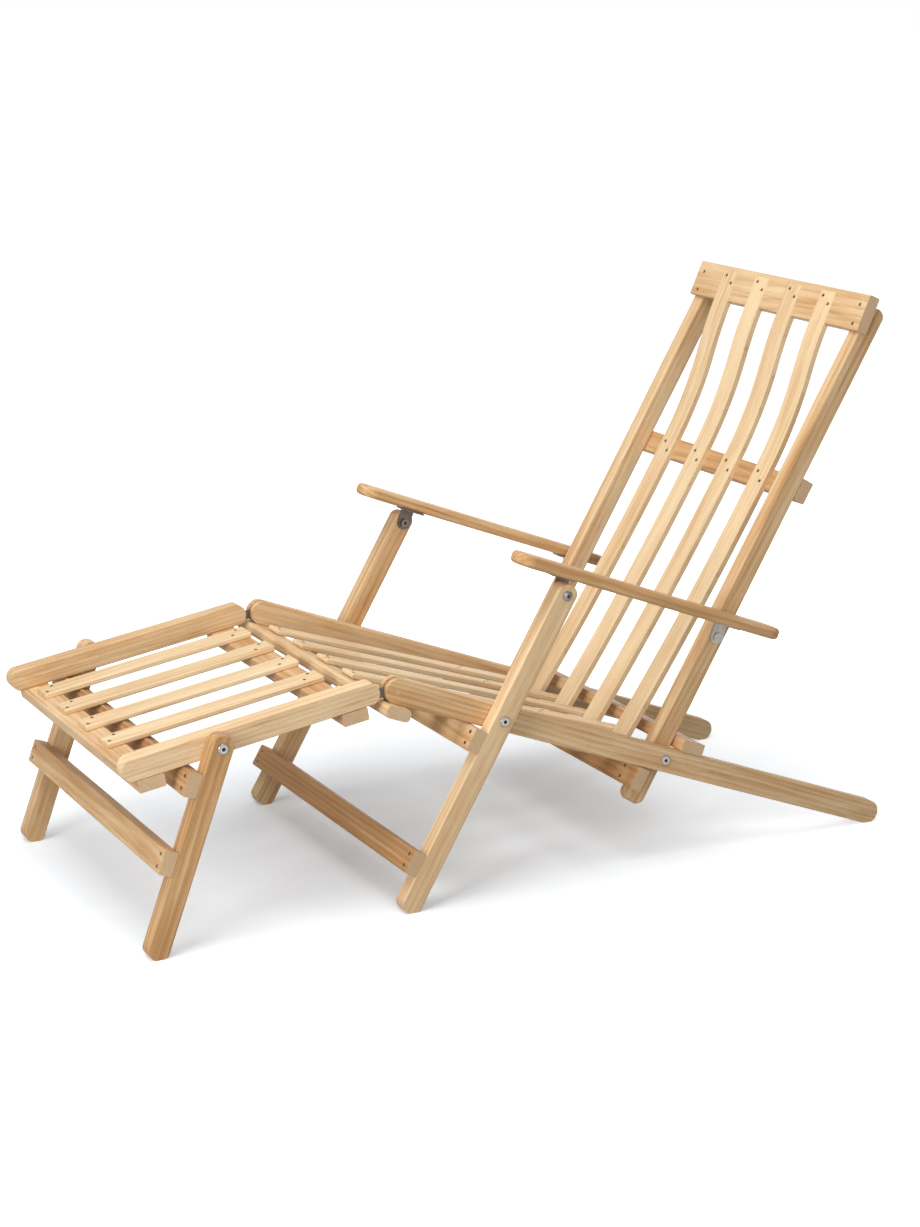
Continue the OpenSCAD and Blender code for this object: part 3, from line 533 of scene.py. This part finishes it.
def screws_of(node_name):
    """Head centre, reach to the tip, head radius and shank radius of every screw in a CAD node of screws.

    Screws of 28 mm and more come out exact. In those of 20 mm and less the end layers miss part of the rims,
    so the head comes out about 2 mm off its centre and the axis 8 to 14 degrees off.
    """
    shape = bmesh.new()
    shape.from_mesh(frame["nodes"][node_name].data)
    bmesh.ops.remove_doubles(shape, verts=shape.verts, dist=SAME_PLACE)
    waiting = set(shape.verts)
    found = []
    for first in shape.verts:
        if first not in waiting:
            continue
        waiting.remove(first)
        grow = [first]
        island = [first]
        while grow:
            vert = grow.pop()
            for edge in vert.link_edges:
                other = edge.other_vert(vert)
                if other in waiting:
                    waiting.remove(other)
                    grow.append(other)
                    island.append(other)
        spots = [vert.co.copy() for vert in island]
        start = spots[0]
        far = max(spots, key=lambda spot: (spot - start).length)
        near = max(spots, key=lambda spot: (spot - far).length)
        axis = (far - near).normalized()
        for _ in range(3):
            ends = [[spot for spot in spots if (spot - end).dot(axis) * sign < END_LAYER]
                    for end, sign in ((near, 1), (far, -1))]
            middles = [sum(group, Vector()) / len(group) for group in ends]
            axis = (middles[1] - middles[0]).normalized()
        widths = [max((spot - middle).length for spot in group) for group, middle in zip(ends, middles)]
        if widths[0] < widths[1]:
            middles.reverse()
            widths.reverse()
        found.append((middles[0], middles[1] - middles[0], *widths))
    shape.free()
    return found


def add_screw(shape, top, reach, head_radius, shank_radius, recess):
    """A round-headed screw with a cross recess, its head at top and its shank along reach."""
    turn = reach.to_track_quat("-Z", "Y").to_matrix().to_4x4()
    place = Matrix.Translation(top) @ turn
    disc = bmesh.ops.create_circle(
        shape, cap_ends=True, segments=HEAD_SEGMENTS, radius=head_radius)["verts"]
    face = disc[0].link_faces[0]
    ring = bmesh.ops.extrude_face_region(shape, geom=[face])["geom"]
    moved = [item for item in ring if isinstance(item, bmesh.types.BMVert)]
    top_face = next(item for item in ring if isinstance(item, bmesh.types.BMFace))
    made = set(disc) | set(moved)
    bmesh.ops.translate(shape, verts=disc, vec=(0.0, 0.0, -HEAD_DEPTH))
    rim = bmesh.ops.inset_region(shape, faces=[top_face], thickness=head_radius * RIM_SHARE, depth=0.0)
    made |= {vert for item in rim["faces"] for vert in item.verts}
    bmesh.ops.translate(shape, verts=moved, vec=(0.0, 0.0, -RIM_DROP))
    cut = bmesh.ops.inset_region(shape, faces=[top_face], thickness=head_radius * LAND_SHARE, depth=0.0)
    made |= {vert for item in cut["faces"] for vert in item.verts}
    for vert in top_face.verts:
        angle = math.atan2(vert.co.y, vert.co.x)
        arm = abs(math.sin(2.0 * angle))
        shrink = 1.0 - CROSS_WAIST * min(1.0, arm * CROSS_SHARPNESS)
        vert.co.x *= shrink
        vert.co.y *= shrink
    floor = bmesh.ops.inset_region(
        shape, faces=[top_face], thickness=head_radius * TAPER_SHARE, depth=-recess)
    made |= {vert for item in floor["faces"] for vert in item.verts} | set(top_face.verts)
    length = reach.length - SHANK_SHORTER
    shank = bmesh.ops.create_cone(
        shape, cap_ends=True, segments=SHANK_SEGMENTS, radius1=shank_radius * TIP_SHARE,
        radius2=shank_radius, depth=length)["verts"]
    bmesh.ops.translate(shape, verts=shank, vec=(0.0, 0.0, -HEAD_DEPTH - length / 2))
    bmesh.ops.transform(shape, matrix=place, verts=list(made) + shank)


def rounded_board(length, width, thick, edge):
    """A board along X with half-round ends and all its edges rounded, its middle at the origin."""
    shape = bmesh.new()
    loops = []
    for step in range(2 * EDGE_STEPS + 2):
        upper = step > EDGE_STEPS
        turned = step - EDGE_STEPS - 1 if upper else EDGE_STEPS - step
        angle = math.pi / 2 * turned / EDGE_STEPS
        height = (thick / 2 - edge + edge * math.sin(angle)) * (1 if upper else -1)
        radius = width / 2 - edge + edge * math.cos(angle)
        ring = bmesh.ops.create_circle(shape, cap_ends=False, segments=END_SEGMENTS, radius=radius)["verts"]
        for half in (1, -1):
            moved = [vert for vert in ring
                     if vert.co.x * half > SAME_PLACE or (abs(vert.co.x) <= SAME_PLACE and half > 0)]
            bmesh.ops.translate(shape, verts=moved, vec=(half * (length - width) / 2, 0.0, 0.0))
        bmesh.ops.translate(shape, verts=ring, vec=(0.0, 0.0, height))
        loops.append(list(dict.fromkeys(side for vert in ring for side in vert.link_edges)))
    for first, second in zip(loops, loops[1:]):
        bmesh.ops.bridge_loops(shape, edges=first + second)
    for loop in (loops[0], loops[-1]):
        bmesh.ops.contextual_create(shape, geom=loop)
    bmesh.ops.recalc_face_normals(shape, faces=shape.faces)
    return shape


def body_of_node(node_name):
    bodies = frame["record"]["behaviour"]["bodies"]
    return next(body for body, names in bodies.items() if node_name in names)


def add_object(name, shape, material):
    """Makes an object of a bmesh, which is used up."""
    mesh = bpy.data.meshes.new(name)
    shape.to_mesh(mesh)
    shape.free()
    mesh.materials.append(material)
    made = bpy.data.objects.new(name, mesh)
    bpy.context.scene.collection.objects.link(made)
    return made


def add_piece(name, shape, material, body):
    piece = add_object(name, shape, material)
    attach(piece, body)
    return piece


class DECKCHAIR_OT_seat_frame(bpy.types.Operator):
    """Finish the seat rails and the bars across them"""

    bl_idname = "deckchair.seat_frame"
    bl_label = "Seat rails and bars"

    def execute(self, context):
        dress_boards(("seat_rail_left", "seat_rail_right"), RAIL)
        bars = ("seat_front_bar", "seat_rear_bar", "back_rest_bar")
        dress_boards(bars, RAIL, across=True, sawn_ends=True)
        return {"FINISHED"}


class DECKCHAIR_OT_seat_slats(bpy.types.Operator):
    """Finish the five slats of the seat"""

    bl_idname = "deckchair.seat_slats"
    bl_label = "Seat slats"

    def execute(self, context):
        dress_boards([f"seat_slat_{number}" for number in range(1, 6)], SEAT_SLAT)
        return {"FINISHED"}


class DECKCHAIR_OT_back_frame(bpy.types.Operator):
    """Finish the uprights, the headrest board and the bars of the back"""

    bl_idname = "deckchair.back_frame"
    bl_label = "Uprights, headrest and back bars"

    def execute(self, context):
        dress_boards(("upright_left", "upright_right"), UPRIGHT)
        dress_boards(("headrest_board",), HEAD, across=True, sawn_ends=True)
        dress_boards(("mid_back_bar", "lower_back_bar"), UPRIGHT, across=True, sawn_ends=True)
        return {"FINISHED"}


class DECKCHAIR_OT_back_slats(bpy.types.Operator):
    """Finish the four bent slats of the back"""

    bl_idname = "deckchair.back_slats"
    bl_label = "Back slats"

    def execute(self, context):
        dress_boards([f"back_slat_{number}" for number in range(1, 5)], UPRIGHT, depth=BENT_DEPTH)
        return {"FINISHED"}


class DECKCHAIR_OT_front_legs(bpy.types.Operator):
    """Finish the front legs, their stop bar and their stretcher"""

    bl_idname = "deckchair.front_legs"
    bl_label = "Front legs"

    def execute(self, context):
        dress_boards(("front_leg_left", "front_leg_right"), UPRIGHT)
        dress_boards(("leg_stop_bar", "leg_stretcher"), UPRIGHT, across=True, sawn_ends=True)
        return {"FINISHED"}


class DECKCHAIR_OT_armrests(bpy.types.Operator):
    """Model the two armrest boards with edges rounded all the way along and round both ends"""

    bl_idname = "deckchair.armrests"
    bl_label = "Armrests"

    def execute(self, context):
        edge = context.scene.deck_wood.arm_edge
        lay = Matrix.Rotation(math.radians(RAIL), 4, "Y")
        for name in ("armrest_left", "armrest_right"):
            spots = [lay @ vert.co for vert in frame["nodes"][name].data.vertices]
            low, high = (Vector([pick(spot[axis] for spot in spots) for axis in range(3)])
                         for pick in (min, max))
            shape = rounded_board(*(high - low), edge)
            place = lay.inverted() @ Matrix.Translation((low + high) / 2)
            bmesh.ops.transform(shape, matrix=place, verts=shape.verts)
            piece = add_piece(name + "_board", shape, wood_material(name, RAIL, False), name)
            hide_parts(name)
        return {"FINISHED"}


class DECKCHAIR_OT_footrest_frame(bpy.types.Operator):
    """Finish the footrest rails and the bars under them"""

    bl_idname = "deckchair.footrest_frame"
    bl_label = "Footrest rails and bars"

    def execute(self, context):
        dress_boards(("foot_rail_left", "foot_rail_right"), FOOT_RAIL)
        dress_boards(("foot_front_bar", "foot_rear_bar"), FOOT_RAIL, across=True, sawn_ends=True)
        return {"FINISHED"}


class DECKCHAIR_OT_footrest_slats(bpy.types.Operator):
    """Finish the five slats of the footrest"""

    bl_idname = "deckchair.footrest_slats"
    bl_label = "Footrest slats"

    def execute(self, context):
        dress_boards([f"foot_slat_{number}" for number in range(1, 6)], FOOT_RAIL)
        return {"FINISHED"}


class DECKCHAIR_OT_footrest_legs(bpy.types.Operator):
    """Finish the footrest legs, their stop bar and their stretcher"""

    bl_idname = "deckchair.footrest_legs"
    bl_label = "Footrest legs"

    def execute(self, context):
        dress_boards(("foot_leg_left", "foot_leg_right"), FOOT_LEG)
        dress_boards(("foot_stop_bar", "foot_stretcher"), FOOT_LEG, across=True, sawn_ends=True)
        return {"FINISHED"}


class DECKCHAIR_OT_dowels(bpy.types.Operator):
    """Finish the wooden dowels and hinge pins"""

    bl_idname = "deckchair.dowels"
    bl_label = "Dowels and hinge pins"

    def execute(self, context):
        dress_boards(("seat_dowels",), RAIL, across=True, sawn_ends=True)
        dress_boards(("hinge_pins",), RAIL)
        return {"FINISHED"}


class DECKCHAIR_OT_pivot_bolts(bpy.types.Operator):
    """Finish the pivot bolts with their capped heads and their hex sockets painted dark as painted shade"""

    bl_idname = "deckchair.pivot_bolts"
    bl_label = "Pivot bolts"

    def execute(self, context):
        look = context.scene.deck_metal
        for name in ("leg_pivot_bolts", "back_pivot_bolts", "foot_pivot_bolts"):
            dress(name, steel_material("steel_" + name, look.steel, CAP_ROUGH, bolt_axis(name)))
        return {"FINISHED"}


class DECKCHAIR_OT_arm_metalwork(bpy.types.Operator):
    """Finish the arm bolts and the brackets under the armrests"""

    bl_idname = "deckchair.arm_metalwork"
    bl_label = "Arm bolts and brackets"

    def execute(self, context):
        look = context.scene.deck_metal
        dome = steel_material("arm_dome_steel", look.dome, DOME_ROUGH, bolt_axis("arm_front_bolts"))
        zinc = steel_material("bracket_zinc", look.zinc, BRACKET_ROUGH)
        dark = steel_material("bracket_dark", look.dark, BRACKET_ROUGH)
        dress("arm_front_bolts", dome)
        dress("arm_rear_bolts", zinc)
        for side in ("left", "right"):
            dress("arm_rear_bracket_" + side, zinc)
            dress("arm_front_bracket_" + side, dark)
        return {"FINISHED"}


class DECKCHAIR_OT_footrest_hinge(bpy.types.Operator):
    """Finish the hinge blades between seat and footrest, and their pins"""

    bl_idname = "deckchair.footrest_hinge"
    bl_label = "Footrest hinge"

    def execute(self, context):
        look = context.scene.deck_metal
        # the blades take the dark plate colour, partly their own finish and partly painted shade for the gap
        # between seat and footrest
        dress("hinge_blades", steel_material("hinge_plate", look.dark, BLADE_ROUGH))
        dress("blade_pins", steel_material("pin_steel", look.steel, PIN_ROUGH))
        return {"FINISHED"}


class DECKCHAIR_OT_screws(bpy.types.Operator):
    """Model every screw with a cross recess in its head"""

    bl_idname = "deckchair.screws"
    bl_label = "Screws"

    def execute(self, context):
        look = context.scene.deck_metal
        finish = steel_material("screw_steel", look.screw, SCREW_ROUGH)
        for name in ("seat_screws", "back_screws", "leg_screws", "arm_screws_left", "arm_screws_right",
                     "foot_screws", "foot_leg_screws"):
            shape = bmesh.new()
            for top, reach, head_radius, shank_radius in screws_of(name):
                add_screw(shape, top, reach, head_radius, shank_radius, look.screw_recess)
            bmesh.ops.recalc_face_normals(shape, faces=shape.faces)
            piece = add_piece(name + "_cross_head", shape, finish, body_of_node(name))
            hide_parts(name)
        return {"FINISHED"}


class DECKCHAIR_OT_studio(bpy.types.Operator):
    """Set up the floor, the lamps, the room light and the camera"""

    bl_idname = "deckchair.studio"
    bl_label = "Studio"

    def execute(self, context):
        scene = context.scene
        studio = scene.deck_studio
        scene.view_settings.view_transform = "Standard"

        material, coords = blank_material("floor_paper")
        shown = shown_rays(coords)
        dull = tuple(PAPER_SHARE * channel for channel in studio.floor)
        colour = noise_of(coords, *PAPER_NOISE).ramp(*PAPER_EDGE).mix(dull, studio.floor)
        colour = shown.mix(tuple(studio.floor_bounce * channel for channel in studio.floor), colour)
        paper = coords.node("ShaderNodeBsdfDiffuse", None, {"Color": colour})
        # painted shadow: less glow near the middle of the ellipse paints a soft shadow on the floor under the
        # chair
        x, y, _ = parts_of(coords)
        x = x - studio.painted_shadow_middle[0]
        y = y - studio.painted_shadow_middle[1]
        away = (x * x / studio.painted_shadow_stretch + y * y) ** 0.5
        fade = away.ramp(studio.painted_shadow_near, studio.painted_shadow_far)
        lift = shown * (studio.floor_lift + fade * (1.0 - studio.floor_lift))
        glow = coords.node("ShaderNodeEmission", None, {"Color": lift, "Strength": 1.0})
        close_material(coords, coords.node("ShaderNodeAddShader", None, {0: paper, 1: glow}))
        # the glow lights nothing, so no light rays are spent on it
        material.cycles.emission_sampling = "NONE"
        shape = bmesh.new()
        bmesh.ops.create_grid(shape, x_segments=1, y_segments=1, size=FLOOR_HALF)
        floor = add_object("studio_floor", shape, material)

        world = bpy.data.worlds.new("studio_room")
        world.use_nodes = True
        world.node_tree.nodes.clear()
        start = Sock(world.node_tree, None)
        strength = shown_rays(start) * (1.0 - studio.sky) + studio.sky
        backdrop = start.node("ShaderNodeBackground", None, {
            "Color": (1.0, 1.0, 1.0, 1.0), "Strength": strength})
        start.node("ShaderNodeOutputWorld", None, {"Surface": backdrop})
        scene.world = world

        for name, place, target, size, power in LAMPS:
            data = bpy.data.lights.new(name, "AREA")
            data.shape = "SQUARE"
            data.size = size
            data.energy = getattr(studio, power)
            lamp = bpy.data.objects.new(name, data)
            lamp.location = place
            aim = Vector(target) - Vector(place)
            lamp.rotation_euler = aim.to_track_quat("-Z", "Y").to_euler()
            scene.collection.objects.link(lamp)

        data = bpy.data.cameras.new("photo_camera")
        data.sensor_width = SENSOR
        data.lens = studio.lens
        camera = bpy.data.objects.new("photo_camera", data)
        camera.location = studio.camera_place
        camera.rotation_euler = studio.camera_turn
        scene.collection.objects.link(camera)
        scene.camera = camera
        return {"FINISHED"}


OPERATORS = (
    DECKCHAIR_OT_studio,
    DECKCHAIR_OT_seat_frame,
    DECKCHAIR_OT_seat_slats,
    DECKCHAIR_OT_back_frame,
    DECKCHAIR_OT_back_slats,
    DECKCHAIR_OT_front_legs,
    DECKCHAIR_OT_armrests,
    DECKCHAIR_OT_footrest_frame,
    DECKCHAIR_OT_footrest_slats,
    DECKCHAIR_OT_footrest_legs,
    DECKCHAIR_OT_dowels,
    DECKCHAIR_OT_pivot_bolts,
    DECKCHAIR_OT_arm_metalwork,
    DECKCHAIR_OT_footrest_hinge,
    DECKCHAIR_OT_screws,
)


class DECKCHAIR_PT_sidebar(bpy.types.Panel):
    """Lists the steps and the looks of the deck chair"""

    bl_idname = "DECKCHAIR_PT_sidebar"
    bl_label = "Deck Chair"
    bl_space_type = "VIEW_3D"
    bl_region_type = "UI"
    bl_category = "Deck Chair"

    def draw(self, context):
        layout = self.layout
        for operator in OPERATORS:
            layout.operator(operator.bl_idname)
        for group in (context.scene.deck_wood, context.scene.deck_metal, context.scene.deck_studio):
            box = layout.box()
            for name in group.__annotations__:
                box.prop(group, name)


CLASSES = (WoodLook, MetalLook, StudioSetup, *OPERATORS, DECKCHAIR_PT_sidebar)


def register():
    for item in CLASSES:
        bpy.utils.register_class(item)
    bpy.types.Scene.deck_wood = PointerProperty(type=WoodLook)
    bpy.types.Scene.deck_metal = PointerProperty(type=MetalLook)
    bpy.types.Scene.deck_studio = PointerProperty(type=StudioSetup)


def unregister():
    del bpy.types.Scene.deck_studio
    del bpy.types.Scene.deck_metal
    del bpy.types.Scene.deck_wood
    for item in reversed(CLASSES):
        bpy.utils.unregister_class(item)


def main():
    register()
    for operator in OPERATORS:
        group, name = operator.bl_idname.split(".")
        getattr(getattr(bpy.ops, group), name)()


if __name__ == "__main__":
    main()
